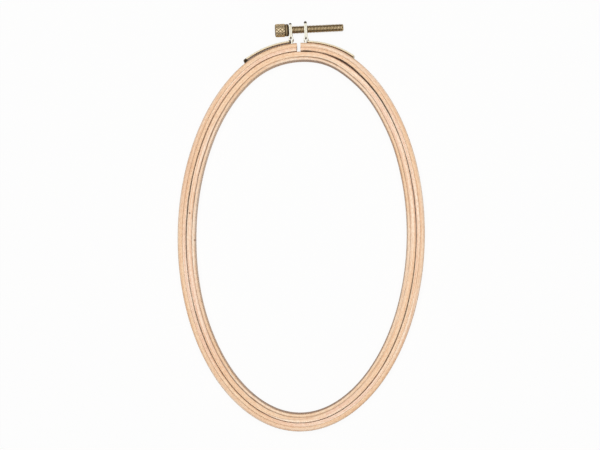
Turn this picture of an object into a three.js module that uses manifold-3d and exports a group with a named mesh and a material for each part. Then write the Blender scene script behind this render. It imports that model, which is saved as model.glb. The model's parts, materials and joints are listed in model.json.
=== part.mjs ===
// An oval embroidery hoop of bent beech with a brass clamp, lying flat.
// Lengths are in millimetres, angles in degrees, and +Z is up. The origin is the middle of the whole hoop's
// footprint, clamp included, on the face that it lies on. +Y points to the clamp, +X to the screw's tip.

import * as THREE from 'three';
import { mergeVertices } from 'three/addons/utils/BufferGeometryUtils.js';
import Module from 'manifold-3d';

const wasm = await Module();
wasm.setup();

// Oval: half-axes of the inner ring's outer face, and the ways in which bent wood leaves a true ellipse
const hoopHalfLength = 102.15;
const hoopHalfWidth = 62.95;
const apexFlat = 0.95; // how far both rings lie inside the ellipse at the clamp end
const apexFlatAngle = -3;
const apexFlatReach = 26;
const farSwell = 0.3; // how far both rings lie outside it at the far end
const farSwellReach = 32;
const seamEase = 0.4; // how much further in the inner ring lies beside the right-hand foot
const seamEaseAngle = 25;
const seamEaseReach = 17;

// Rings: each is two bent strips of wood, glued face to face
const ringHeight = 9.5;
const ringClearance = 0.3;
const glueLine = 0.1;
const innerRingInnerPly = 1.6;
const innerRingOuterPly = 2.9;
const outerRingInnerPly = 1.95;
const outerRingOuterPly = 2.7;
const outerRounding = 1.7;
const innerRounding = 1.2;
const edgeEase = 0.35;
const gapWidth = 2.0;
const gapShift = -2.7;
const bendSlit = 0.2; // stands for the wood's bend, at the far end of the outer ring

// How finely the curves are faceted
const ringSteps = 96;
const roundingSteps = 3;
const footSteps = 10;
const bendFacet = 24; // degrees of a bend to each flat
const screwSides = 24;
const knobSides = 36;

// Brackets: one brass strip each, folded double to make the ear
const stripThickness = 0.8;
const stripInset = 1.0; // the strip's edges lie this far inside the ring's two faces
const footLength = 27.4;
const footGap = 0.5;
const toothDepth = 3.4;
const bendInside = 0.15;
const legGap = 0.1;
const loopInside = 1.15;
const loopLean = 40;
const loopBottomShare = 0.47; // the share of the loop's swell that its lower arc makes
const earSetback = 3.15;
const leftEarLand = 1.1; // brass above the screw's hole
const rightEarLand = 1.7;
const slotGap = 0.25;
const clinchInset = 0.15;
const clinchLength = 3.0;

// Screw and knob
const screwDiameter = 4.1;
const screwPitch = 0.794;
const screwTurns = 7.5; // from clamped to open
const screwLength = 30.1; // from the knob's bearing face to the tip
const screwTilt = 3.4;
const screwHeight = 7.8; // above the wood, midway between the ears
const screwTipChamfer = 0.4;
const leftHoleClearance = 0.15;
const rightHoleClearance = 0.2;
const knobDiameter = 7.2;
const knurlLength = 5.7;
const knobCollarLength = 1.9;
const knobCollarDiameter = 6.8;
const knobChamfer = 0.4;
const knobShoulder = 1.0;
const knobBoreDepth = 4.5;
const knobFit = 0.03;
const bearingGap = 0.1;

const beech = new THREE.MeshStandardMaterial({ color: 0xecccae, roughness: 0.6, metalness: 0.0 });
const beechEdge = new THREE.MeshStandardMaterial({ color: 0xe6c09c, roughness: 0.65, metalness: 0.0 });
const brass = new THREE.MeshStandardMaterial({ color: 0xc4a76c, roughness: 0.3, metalness: 1.0 });

// Worked out from the sizes above
const rad = THREE.MathUtils.degToRad;
const innerRingThickness = innerRingInnerPly + glueLine + innerRingOuterPly;
const outerRingInside = ringClearance;
const outerRingSeam = outerRingInside + outerRingInnerPly;
const outerRingOutside = outerRingSeam + glueLine + outerRingOuterPly;
const stripLow = stripInset;
const stripHigh = ringHeight - stripInset;
const stripHalf = stripThickness / 2;
const legOffset = (stripThickness + legGap) / 2;
const bendRadius = bendInside + stripHalf;
const footLine = outerRingOutside + footGap + stripHalf;
const clinchLine = outerRingInside + clinchInset + stripHalf;
const beyond = 2 * (hoopHalfLength + hoopHalfWidth + screwLength);
const screwDirection = new THREE.Vector2(Math.cos(rad(screwTilt)), Math.sin(rad(screwTilt)));
const earDirection = new THREE.Vector2(-screwDirection.y, screwDirection.x);

// Plane curves

function hump(angle, centre, reach) {
  const away = Math.abs(Math.atan2(Math.sin(angle - centre), Math.cos(angle - centre)));
  return away < reach ? Math.cos((Math.PI / 2) * (away / reach)) ** 2 : 0;
}

function ovalNormal(angle) {
  return new THREE.Vector2(Math.sin(angle) / hoopHalfWidth, Math.cos(angle) / hoopHalfLength).normalize();
}

// The point at an angle from +Y towards +X, at a distance outside the inner ring's outer face
function ovalPoint(angle, outside) {
  const flat = apexFlat * hump(angle, rad(apexFlatAngle), rad(apexFlatReach));
  const swollen = farSwell * hump(angle, Math.PI, rad(farSwellReach));
  const point = new THREE.Vector2(hoopHalfWidth * Math.sin(angle), hoopHalfLength * Math.cos(angle));
  return point.addScaledVector(ovalNormal(angle), outside - flat + swollen);
}

function innerRingPoint(angle, outside) {
  return ovalPoint(angle, outside - seamEase * hump(angle, rad(seamEaseAngle), rad(seamEaseReach)));
}

// The angle between low and high where a rising or falling function is zero
function zeroBetween(low, high, value) {
  const rising = value(high) > value(low);
  for (let step = 0; step < 50; step += 1) {
    const middle = (low + high) / 2;
    if (value(middle) > 0 === rising) high = middle;
    else low = middle;
  }
  return (low + high) / 2;
}

// The angle reached after a length of travel along the curve at a distance outside
function angleAlong(start, side, outside, length) {
  const step = rad(0.1) * side;
  let angle = start;
  let travelled = 0;
  while (travelled < length) {
    travelled += ovalPoint(angle, outside).distanceTo(ovalPoint(angle + step, outside));
    angle += step;
  }
  return angle;
}

// A line of points drawn by going straight and turning. A heading is clockwise from the second axis.
class StripLine {
  constructor(start, heading) {
    this.points = [start.clone()];
    this.heading = heading;
  }

  get end() {
    return this.points[this.points.length - 1];
  }

  go(length) {
    const ahead = new THREE.Vector2(Math.sin(this.heading), Math.cos(this.heading));
    this.points.push(this.end.clone().addScaledVector(ahead, length));
    return this;
  }

  turnTo(heading, radius) {
    const turn = Math.sign(heading - this.heading);
    const rightOf = (angle) => new THREE.Vector2(Math.cos(angle), -Math.sin(angle));
    const centre = this.end.clone().addScaledVector(rightOf(this.heading), turn * radius);
    const swing = heading - this.heading;
    const steps = Math.max(2, Math.ceil(Math.abs(swing) / rad(bendFacet)));
    for (let step = 1; step <= steps; step += 1) {
      const angle = this.heading + (swing * step) / steps;
      this.points.push(centre.clone().addScaledVector(rightOf(angle), -turn * radius));
    }
    this.heading = heading;
    return this;
  }

  through(points) {
    this.points.push(...points);
    return this;
  }
}

// The closed outline of a strip whose middle follows a line of points
function stripOutline(line, half) {
  const left = [];
  const right = [];
  const runs = line.slice(1).map((point, index) => point.clone().sub(line[index]).normalize());
  line.forEach((point, index) => {
    const into = runs[Math.max(index - 1, 0)];
    const out = runs[Math.min(index, runs.length - 1)];
    const along = into.clone().add(out).normalize();
    const across = new THREE.Vector2(-along.y, along.x).multiplyScalar(half / along.dot(into));
    left.push(point.clone().add(across));
    right.unshift(point.clone().sub(across));
  });
  return [...left, ...right];
}

// Solids

function solidFrom(geometry) {
  geometry.deleteAttribute('normal');
  geometry.deleteAttribute('uv');
  const merged = mergeVertices(geometry, 1e-5);
  const vertProperties = Float32Array.from(merged.attributes.position.array);
  const triVerts = Uint32Array.from(merged.index.array);
  return new wasm.Manifold(new wasm.Mesh({ numProp: 3, vertProperties, triVerts }));
}

function geometryFrom(solid) {
  const mesh = solid.getMesh();
  const geometry = new THREE.BufferGeometry();
  geometry.setAttribute('position', new THREE.BufferAttribute(mesh.vertProperties, 3));
  geometry.setIndex(new THREE.BufferAttribute(mesh.triVerts, 1));
  geometry.computeVertexNormals();
  return geometry;
}

function extruded(outline, low, high) {
  const geometry = new THREE.ExtrudeGeometry(new THREE.Shape(outline), {
    depth: high - low,
    bevelEnabled: false,
  });
  return solidFrom(geometry.translate(0, 0, low));
}

// A cylinder across both ears, along the screw's axis
function screwHole(centre, diameter, length) {
  const hole = new THREE.CylinderGeometry(diameter / 2, diameter / 2, length, screwSides);
  hole.rotateZ(rad(screwTilt - 90));
  return solidFrom(hole.translate(centre.x, centre.y, ringHeight / 2));
}

// The cross-section of a ply, as points of distance outside and height, with round or eased edges
function plySection(inside, outside, innerEdge, outerEdge) {
  const points = [];
  const corner = (distance, height, start, edge) => {
    for (let step = 0; step <= edge.steps && edge.radius > 0; step += 1) {
      const angle = start + (Math.PI / 2) * (step / edge.steps);
      points.push([distance + edge.radius * Math.cos(angle), height + edge.radius * Math.sin(angle)]);
    }
    if (edge.radius === 0) points.push([distance, height]);
  };
  corner(inside + innerEdge.radius, innerEdge.radius, Math.PI, innerEdge);
  corner(outside - outerEdge.radius, outerEdge.radius, -Math.PI / 2, outerEdge);
  corner(outside - outerEdge.radius, ringHeight - outerEdge.radius, 0, outerEdge);
  corner(inside + innerEdge.radius, ringHeight - innerEdge.radius, Math.PI / 2, innerEdge);
  return points;
}

// A whole closed ring of one ply's cross-section
function ringSolid(section, place) {
  const positions = [];
  const triangles = [];
  const count = section.length;
  for (let step = 0; step < ringSteps; step += 1) {
    const angle = (2 * Math.PI * step) / ringSteps;
    section.forEach(([outside, height]) => {
      const point = place(angle, outside);
      positions.push(point.x, point.y, height);
    });
    const here = step * count;
    const next = ((step + 1) % ringSteps) * count;
    for (let j = 0; j < count; j += 1) {
      const k = (j + 1) % count;
      triangles.push(here + j, here + k, next + k, here + j, next + k, next + j);
    }
  }
  const geometry = new THREE.BufferGeometry();
  geometry.setAttribute('position', new THREE.Float32BufferAttribute(positions, 3));
  geometry.setIndex(triangles);
  return solidFrom(geometry);
}

const square = { radius: 0, steps: 1 };
const eased = { radius: edgeEase, steps: 1 };
const outerRound = { radius: outerRounding, steps: roundingSteps };
const innerRound = { radius: innerRounding, steps: roundingSteps };

// An ear and its screw hole: side is 1 for the right ear and -1 for the left one
function earPlace(side, land, holeClearance) {
  const x = gapShift + side * (gapWidth / 2 + earSetback);
  const angle = zeroBetween(-Math.PI / 3, Math.PI / 3, (a) => ovalPoint(a, outerRingOutside).x - x);
  const base = ovalPoint(angle, outerRingOutside);
  return { side, angle, base, land, hole: screwDiameter + 2 * holeClearance };
}

const leftEar = earPlace(-1, leftEarLand, leftHoleClearance);
const rightEar = earPlace(1, rightEarLand, rightHoleClearance);
const screwMiddle = leftEar.base.clone().add(rightEar.base).multiplyScalar(0.5);
screwMiddle.addScaledVector(earDirection, screwHeight);

// Where the screw's axis crosses an ear
function axisAtEar(ear) {
  const along = ear.base.clone().sub(screwMiddle).dot(screwDirection);
  return screwMiddle.clone().addScaledVector(screwDirection, along);
}

// How far up the ear, from the wood, the bend of its fold is centred
function foldHeight(ear) {
  const axisHeight = axisAtEar(ear).sub(ear.base).dot(earDirection);
  return axisHeight + ear.hole / 2 + ear.land - stripHalf - legOffset;
}

// The hinge that stands for the wood's bend is on the outer ring's middle line. It is set so that the
// screw stays in the middle of the right ear's hole from clamped to open.
const screwTravel = screwPitch * screwTurns;
const bendLine = (outerRingInside + outerRingOutside) / 2;
const bendAngle = zeroBetween(Math.PI / 2, Math.PI * 1.5, (angle) => {
  const toEar = axisAtEar(rightEar).sub(ovalPoint(angle, bendLine));
  return toEar.dot(screwDirection) + screwTravel / 2;
});
const bendPoint = ovalPoint(bendAngle, bendLine);

// Half of the outer ring's plan: everything on one side of the gap and of the slit
function halfPlan(side) {
  const normal = ovalNormal(bendAngle);
  const slitOffset = new THREE.Vector2(-normal.y, normal.x).multiplyScalar((side * bendSlit) / 2);
  const slit = bendPoint.clone().add(slitOffset);
  const gapFace = gapShift + (side * gapWidth) / 2;
  return [
    new THREE.Vector2(gapFace, beyond),
    new THREE.Vector2(gapFace, hoopHalfLength / 2),
    slit.clone().addScaledVector(normal, -hoopHalfWidth / 2),
    slit.clone().addScaledVector(normal, hoopHalfWidth),
    new THREE.Vector2(side * beyond, -beyond),
    new THREE.Vector2(side * beyond, beyond),
  ];
}

// Bracket line: tooth, foot, lower bend, loop, leg, fold, leg, loop, tang and clinch, in the ear's own
// axes, where the first points away from the gap and the second up the ear
function earFrame(ear) {
  const away = screwDirection.clone().multiplyScalar(ear.side);
  const turn = (vector) => new THREE.Vector2(vector.dot(away), vector.dot(earDirection));
  return {
    turn,
    local: (point) => turn(point.clone().sub(ear.base)),
    world: (point) =>
      ear.base.clone().addScaledVector(away, point.x).addScaledVector(earDirection, point.y),
  };
}

// Where a bend of the bracket's radius meets the curve at a distance outside: the angle on the oval, and
// the heading there. The bend's centre is at a distance from the ear's middle plane.
function bendOnto(ear, outside, centreAcross) {
  const { turn, local } = earFrame(ear);
  const centre = (angle) => local(ovalPoint(angle, outside).addScaledVector(ovalNormal(angle), bendRadius));
  const reach = rad(40);
  const angle = zeroBetween(ear.angle - reach, ear.angle + reach, (a) => centre(a).x - centreAcross);
  const normal = turn(ovalNormal(angle));
  return { angle, point: local(ovalPoint(angle, outside)), slope: Math.atan2(normal.x, normal.y) };
}

function curvePoints(ear, outside, from, to, steps) {
  const { local } = earFrame(ear);
  const points = [];
  for (let step = 1; step <= steps; step += 1) {
    points.push(local(ovalPoint(from + ((to - from) * step) / steps, outside)));
  }
  return points;
}

const swell = (loopInside - legGap) / 2;
const lean = rad(loopLean);
const loopBottomRadius = (swell * loopBottomShare) / (1 - Math.cos(lean));
const loopTopRadius = (swell * (1 - loopBottomShare)) / (1 - Math.cos(lean));

// The clinched end of the strip, and the bend that leads to it from the tang
function clinchPlace(ear) {
  const bend = bendOnto(ear, clinchLine, bendRadius - legOffset);
  const endAngle = angleAlong(bend.angle, ear.side, clinchLine, clinchLength - bendRadius);
  return { ...bend, points: curvePoints(ear, clinchLine, bend.angle, endAngle, 2) };
}

function tangPoints(ear, startHeight) {
  const clinch = clinchPlace(ear);
  const tangEnd = clinch.point.y + bendRadius * Math.cos(clinch.slope);
  return new StripLine(new THREE.Vector2(-legOffset, startHeight), -Math.PI)
    .go(startHeight - tangEnd)
    .turnTo(clinch.slope - 1.5 * Math.PI, bendRadius)
    .through(clinch.points).points;
}

function toothPlace(ear) {
  const angle = angleAlong(ear.angle, ear.side, footLine, footLength - bendRadius - stripHalf);
  const { turn, local } = earFrame(ear);
  const normal = turn(ovalNormal(angle));
  return { angle, normal, bend: local(ovalPoint(angle, footLine)), slope: Math.atan2(normal.x, normal.y) };
}

// The tooth's line, from its tip in the wood out to the start of its bend
function toothLine(tooth, extraDepth, extraHeight) {
  const across = new THREE.Vector2(tooth.normal.y, -tooth.normal.x).multiplyScalar(bendRadius);
  const shoulder = tooth.bend.clone().addScaledVector(tooth.normal, -bendRadius).add(across);
  const depth = toothDepth + footGap + stripHalf - bendRadius;
  const tip = shoulder.clone().addScaledVector(tooth.normal, -depth - extraDepth);
  return new StripLine(tip, tooth.slope).go(depth + extraDepth + extraHeight);
}

function bracketLine(ear) {
  const tooth = toothPlace(ear);
  const neckAcross = legOffset + swell * (1 - loopBottomShare) + bendRadius * Math.cos(lean);
  const neck = bendOnto(ear, footLine, neckAcross);

  const line = toothLine(tooth, 0, 0).turnTo(tooth.slope - Math.PI / 2, bendRadius);
  line.through(curvePoints(ear, footLine, tooth.angle, neck.angle, footSteps));
  line.heading = neck.slope - Math.PI / 2;
  line.turnTo(lean, bendRadius).turnTo(-lean, loopBottomRadius).turnTo(0, loopTopRadius);
  const legLength = foldHeight(ear) - line.end.y;
  line.go(legLength).turnTo(-Math.PI, legOffset).go(legLength);
  line.turnTo(lean - Math.PI, loopTopRadius).turnTo(-lean - Math.PI, loopBottomRadius);
  line.turnTo(-Math.PI, loopTopRadius);
  return line.through(tangPoints(ear, line.end.y).slice(1)).points;
}

function bracketSolid(ear) {
  const line = bracketLine(ear).map(earFrame(ear).world);
  const strip = extruded(stripOutline(line, stripHalf), stripLow, stripHigh);
  const earThickness = 2 * (stripThickness + legOffset);
  return strip.subtract(screwHole(axisAtEar(ear), ear.hole, 2 * earThickness));
}

// The slots in the wood for a bracket's tooth and tang, and the recess for its clinch
function bracketSlots(ear) {
  const { world } = earFrame(ear);
  const tooth = toothLine(toothPlace(ear), slotGap, footLine).points;
  const { point, points } = clinchPlace(ear);
  const last = points[points.length - 1];
  const tail = last.clone().sub(point).setLength(slotGap);
  const corner = point.clone().addScaledVector(tail, -bendRadius / slotGap);
  const tang = [new THREE.Vector2(-legOffset, stripThickness), corner.clone().setX(-legOffset)];
  tang[1].y -= stripThickness;
  const recess = [corner, point, ...points, last.clone().add(tail)];
  return [tooth, tang, recess].map((line) =>
    extruded(stripOutline(line.map(world), stripHalf + slotGap), stripLow - slotGap, stripHigh + slotGap),
  );
}

function outerRingHalf(section, ear) {
  const low = -ringHeight;
  const half = ringSolid(section, ovalPoint).intersect(extruded(halfPlan(ear.side), low, 2 * ringHeight));
  return bracketSlots(ear).reduce((wood, slot) => wood.subtract(slot), half);
}

// Screw parts, around +Y of their own group, from the knob's bearing face

function knobProfile() {
  const bore = screwDiameter / 2 + knobFit;
  const collar = knobCollarDiameter / 2;
  const drum = knobDiameter / 2;
  const drumEnd = -knobCollarLength;
  const drumStart = drumEnd - knurlLength;
  const shoulder = Math.min(knobShoulder, knobCollarLength, collar - bore);
  const points = [
    [0, drumStart],
    [drum - knobChamfer, drumStart],
    [drum, drumStart + knobChamfer],
    [drum, drumEnd],
    [collar, drumEnd],
  ];
  for (let step = 0; step <= roundingSteps; step += 1) {
    const angle = (Math.PI / 2) * (step / roundingSteps);
    const across = collar - shoulder + shoulder * Math.cos(angle);
    points.push([across, -shoulder + shoulder * Math.sin(angle)]);
  }
  points.push([bore, 0], [bore, -knobBoreDepth], [0, -knobBoreDepth]);
  return points;
}

function shankProfile() {
  const radius = screwDiameter / 2;
  return [
    [0, -knobBoreDepth + knobFit],
    [radius, -knobBoreDepth + knobFit],
    [radius, screwLength - screwTipChamfer],
    [radius - screwTipChamfer, screwLength],
    [0, screwLength],
  ];
}

function turned(profile, sides) {
  const points = profile.map(([across, along]) => new THREE.Vector2(across, along));
  return new THREE.LatheGeometry(points, sides);
}

// Assembly

const hoop = new THREE.Group();

function add(name, geometry, material, group = hoop) {
  const mesh = new THREE.Mesh(geometry, material);
  mesh.name = name;
  group.add(mesh);
}

const innerRingSeam = -innerRingOuterPly;
const innerPlySection = plySection(-innerRingThickness, innerRingSeam - glueLine, innerRound, square);
const outerPlySection = plySection(innerRingSeam, 0, square, eased);
add('inner_ring_inner_ply', geometryFrom(ringSolid(innerPlySection, innerRingPoint)), beechEdge);
add('inner_ring_outer_ply', geometryFrom(ringSolid(outerPlySection, innerRingPoint)), beech);

const insidePlySection = plySection(outerRingInside, outerRingSeam, eased, square);
const outsidePlySection = plySection(outerRingSeam + glueLine, outerRingOutside, square, outerRound);
for (const [side, ear] of [['left', leftEar], ['right', rightEar]]) {
  add(`outer_ring_${side}_inner_ply`, geometryFrom(outerRingHalf(insidePlySection, ear)), beech);
  add(`outer_ring_${side}_outer_ply`, geometryFrom(outerRingHalf(outsidePlySection, ear)), beechEdge);
}

add('left_bracket', geometryFrom(bracketSolid(leftEar)), brass);
add('right_bracket', geometryFrom(bracketSolid(rightEar)), brass);

const screw = new THREE.Group();
const bearing = axisAtEar(leftEar).addScaledVector(screwDirection, -legOffset - stripHalf - bearingGap);
screw.position.set(bearing.x, bearing.y, ringHeight / 2);
screw.rotation.z = rad(screwTilt - 90);
hoop.add(screw);
add('screw_knob', turned(knobProfile(), knobSides), brass, screw);
add('clamp_screw', turned(shankProfile(), screwSides), brass, screw);

// The footprint runs from the far end of the outer ring to the top of the taller ear
const foldTop = (ear) => ear.base.y + foldHeight(ear) * earDirection.y + legOffset + stripHalf;
const clampEnd = Math.max(foldTop(leftEar), foldTop(rightEar));
const farEnd = hoopHalfLength + farSwell + outerRingOutside;
hoop.position.y = (farEnd - clampEnd) / 2;

export default hoop;
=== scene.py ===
# Oval embroidery hoop of bent beech with a brass clamp, lying on a white table
# Lengths are in metres, +Z is up and +Y points to the clamp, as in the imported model

import json
from functools import partialmethod
from math import atan2, ceil, copysign, cos, pi, radians, sin

import bpy
from mathutils import Matrix, Vector


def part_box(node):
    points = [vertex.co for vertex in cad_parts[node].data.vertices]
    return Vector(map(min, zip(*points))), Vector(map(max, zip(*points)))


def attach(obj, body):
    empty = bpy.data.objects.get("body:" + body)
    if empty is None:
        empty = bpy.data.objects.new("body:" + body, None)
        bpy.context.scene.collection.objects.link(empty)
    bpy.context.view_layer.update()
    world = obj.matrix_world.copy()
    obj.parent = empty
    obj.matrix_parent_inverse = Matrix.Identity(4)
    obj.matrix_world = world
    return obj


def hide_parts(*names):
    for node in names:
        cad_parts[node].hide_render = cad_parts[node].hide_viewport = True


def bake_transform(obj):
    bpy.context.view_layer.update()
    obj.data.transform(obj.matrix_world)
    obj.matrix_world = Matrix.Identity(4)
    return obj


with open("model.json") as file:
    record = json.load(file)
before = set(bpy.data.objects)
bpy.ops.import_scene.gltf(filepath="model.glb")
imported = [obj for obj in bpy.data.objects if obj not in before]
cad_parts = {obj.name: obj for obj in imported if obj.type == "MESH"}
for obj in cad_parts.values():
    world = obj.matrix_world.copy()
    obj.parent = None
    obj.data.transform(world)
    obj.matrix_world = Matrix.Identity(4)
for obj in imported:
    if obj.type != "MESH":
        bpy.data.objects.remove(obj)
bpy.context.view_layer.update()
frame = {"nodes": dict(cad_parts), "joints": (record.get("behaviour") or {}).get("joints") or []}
mm = 0.001
weld = 0.001 * mm  # points closer than this are one
fullTurn = 2 * pi
joints = {joint["name"]: joint for joint in frame["joints"]}
print("hoop: the frame is in")


# Nodes. A colour is written as rrggbb, and an input is a value, a colour or another node's output

def toLinear(text):
    shares = [int(text[k:k + 2], 16) / 255 for k in (0, 2, 4)]
    return [s / 12.92 if s <= 0.04045 else ((s + 0.055) / 1.055) ** 2.4 for s in shares] + [1.0]


def placeNode(tree, kind, inputs=None, **settings):
    node = tree.nodes.new(kind)
    for name, value in settings.items():
        setattr(node, name, value)
    for key, value in (inputs or {}).items():
        socket = node.inputs[key]
        if isinstance(value, Output):
            tree.links.new(value.socket, socket)
        else:
            socket.default_value = toLinear(value) if socket.type == "RGBA" else value
    return node


def addNode(tree, kind, inputs=None, output=0, **settings):
    return Output(placeNode(tree, kind, inputs, **settings).outputs[output])


# A node's output, to reckon with as with a number: each step adds a maths node
class Output:

    def __init__(self, socket):
        self.socket = socket
        self.tree = socket.id_data

    def calc(self, operation, other=0):
        return addNode(self.tree, "ShaderNodeMath", {0: self, 1: other}, operation=operation)

    def __rsub__(self, other):
        return addNode(self.tree, "ShaderNodeMath", {0: other, 1: self}, operation="SUBTRACT")

    __add__ = partialmethod(calc, "ADD")
    __sub__ = partialmethod(calc, "SUBTRACT")
    __mul__ = partialmethod(calc, "MULTIPLY")
    __truediv__ = partialmethod(calc, "DIVIDE")
    __mod__ = partialmethod(calc, "FLOORED_MODULO")
    __abs__ = partialmethod(calc, "ABSOLUTE")
    atLeast = partialmethod(calc, "MAXIMUM")
    atMost = partialmethod(calc, "MINIMUM")
    above = partialmethod(calc, "GREATER_THAN")


def combine(tree, x=0, y=0, z=0):
    return addNode(tree, "ShaderNodeCombineXYZ", {0: x, 1: y, 2: z})


def separate(vector):
    return [Output(socket) for socket in placeNode(vector.tree, "ShaderNodeSeparateXYZ", {0: vector}).outputs]


def between(value, low, high, bottom=0, top=1, ease="SMOOTHSTEP"):
    inputs = {0: value, 1: low, 2: high, 3: bottom, 4: top}
    return addNode(value.tree, "ShaderNodeMapRange", inputs, interpolation_type=ease)


# Objects

def newObject(name, data):
    obj = bpy.data.objects.new(name, data)
    bpy.context.scene.collection.objects.link(obj)
    return obj


def meshObject(name, points, faces=(), edges=()):
    mesh = bpy.data.meshes.new(name)
    mesh.from_pydata(points, edges, faces)
    return newObject(name, mesh)


def pathObject(name, points):
    return meshObject(name, points, edges=[(k, k + 1) for k in range(len(points) - 1)])


def markPoints(obj, name, values):
    obj.data.attributes.new(name, "FLOAT", "POINT").data.foreach_set("value", values)


def applyModifiers(obj):
    made = bpy.data.meshes.new_from_object(obj.evaluated_get(bpy.context.evaluated_depsgraph_get()))
    obj.modifiers.clear()
    obj.data = made
    return obj


def finishMesh(obj, sharpAngle=35):  # flat faces stay flat between their rounded edges
    applyModifiers(obj)
    obj.data.polygons.foreach_set("use_smooth", [True] * len(obj.data.polygons))
    obj.data.set_sharp_from_angle(angle=radians(sharpAngle))
    obj.modifiers.new("flat faces", "WEIGHTED_NORMAL").keep_sharp = True
    return applyModifiers(obj)


# Geometry node trees: named inputs in, a real mesh with its material out

def newShapeTree(name, inputs):
    tree = bpy.data.node_groups.new(name, "GeometryNodeTree")
    tree.interface.new_socket("Geometry", in_out="OUTPUT", socket_type="NodeSocketGeometry")
    for kind, labels in {"Geometry": ["line"], **inputs, "Material": ["material"]}.items():
        for label in labels:
            tree.interface.new_socket(label, in_out="INPUT", socket_type="NodeSocket" + kind)
    return tree, {socket.name: Output(socket) for socket in tree.nodes.new("NodeGroupInput").outputs}


def endShapeTree(given, geometry):
    tree = geometry.tree
    welded = addNode(tree, "GeometryNodeMergeByDistance", {"Geometry": geometry, "Distance": weld})
    real = addNode(tree, "GeometryNodeRealizeInstances", {"Geometry": welded})
    coat = addNode(tree, "GeometryNodeSetMaterial", {"Geometry": real, "Material": given["material"]})
    placeNode(tree, "NodeGroupOutput", {0: coat})
    return tree


def storeValue(geometry, name, value, kind="FLOAT", domain="POINT"):
    inputs = {"Geometry": geometry, "Name": name, "Value": value}
    return addNode(geometry.tree, "GeometryNodeStoreNamedAttribute", inputs, data_type=kind, domain=domain)


def storedValue(tree, name):
    return addNode(tree, "GeometryNodeInputNamedAttribute", {"Name": name}, data_type="FLOAT")


def dropValues(geometry, *names):
    for name in names:
        geometry = addNode(geometry.tree, "GeometryNodeRemoveAttribute", {"Geometry": geometry, "Name": name})
    return geometry


def addShape(obj, tree, values):  # values may hold more than the tree asks for
    modifier = obj.modifiers.new(tree.name, "NODES")
    modifier.node_group = tree
    for item in tree.interface.items_tree:
        if item.in_out == "INPUT" and item.name in values:
            modifier[item.identifier] = values[item.name]
    return obj


# A strip bent along a line: the rings' plies, their glue lines and the brackets are all this
def bentStripTree():
    sizes = ["inside", "outside", "low", "high", "innerEdge", "outerEdge"]
    tree, given = newShapeTree("bent strip", {"Float": sizes, "Int": ["edgeSteps"], "Bool": ["ends"]})
    thickness = given["outside"] - given["inside"]
    tall = given["high"] - given["low"]

    line = addNode(tree, "GeometryNodeMeshToCurve", {"Mesh": given["line"]})
    line = addNode(tree, "GeometryNodeSetCurveNormal", {"Curve": line}, mode="Z_UP")
    line = storeValue(line, "along", addNode(tree, "GeometryNodeSplineParameter", output="Length"))

    # In the section, outwards is -X and up is -Y
    section = addNode(tree, "GeometryNodeCurvePrimitiveQuadrilateral", {"Width": thickness, "Height": tall})
    x, y, _ = separate(addNode(tree, "GeometryNodeInputPosition"))
    edge = addNode(tree, "ShaderNodeMix", {0: x.above(0), 2: given["outerEdge"], 3: given["innerEdge"]})
    rounding = {"Curve": section, "Count": given["edgeSteps"], "Radius": edge, "Limit Radius": True}
    section = addNode(tree, "GeometryNodeFilletCurve", rounding, mode="POLY")
    section = storeValue(section, "depth", thickness * 0.5 - x)
    section = storeValue(section, "height", tall * 0.5 - y)
    middle = (given["inside"] + given["outside"]) * -0.5
    level = (given["low"] + given["high"]) * -0.5
    shift = {"Geometry": section, "Offset": combine(tree, middle, level)}
    section = addNode(tree, "GeometryNodeSetPosition", shift)

    sweep = {"Curve": line, "Profile Curve": section, "Fill Caps": given["ends"]}
    strip = addNode(tree, "GeometryNodeCurveToMesh", sweep)
    within = combine(tree, *[storedValue(tree, name) for name in ("along", "depth", "height")])
    strip = storeValue(strip, "strip", within, "FLOAT_VECTOR", "CORNER")
    corners = addNode(tree, "GeometryNodeInputMeshFaceNeighbors", output="Vertex Count")
    strip = storeValue(strip, "cutEnd", corners.above(4.5), domain="FACE")  # all other faces have four
    return endShapeTree(given, dropValues(strip, "along", "depth", "height"))


# A grid whose columns go round an axis and whose rows go along it, closed at both ends
def roundGrid(tree, columns, rows):
    lastRow = rows - 1
    cells = {"Size X": 1, "Size Y": lastRow, "Vertices X": columns + 1, "Vertices Y": rows}
    grid = addNode(tree, "GeometryNodeMeshGrid", cells)
    x, y, _ = separate(addNode(tree, "GeometryNodeInputPosition"))
    grid = storeValue(grid, "turn", x + 0.5)
    grid = storeValue(grid, "row", (lastRow * 0.5 + y).calc("ROUND"))
    turn, row = storedValue(tree, "turn"), storedValue(tree, "row")
    return grid, turn, row, row.atMost(lastRow - row).above(0.5)


def wrapRound(given, grid, turn, along, radius, groove):
    angle = turn * fullTurn
    place = combine(grid.tree, angle.calc("COSINE") * radius, angle.calc("SINE") * radius, along)
    wrapped = storeValue(grid, "groove", groove * radius.above(0))
    wrapped = addNode(grid.tree, "GeometryNodeSetPosition", {"Geometry": wrapped, "Position": place})
    return endShapeTree(given, dropValues(wrapped, "turn", "row"))


# Radius near both ends, from a tip radius up at 45 degrees
def endChamfer(radius, tip, along, length):
    return radius.atMost(along.atMost(length - along) + tip)


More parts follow.
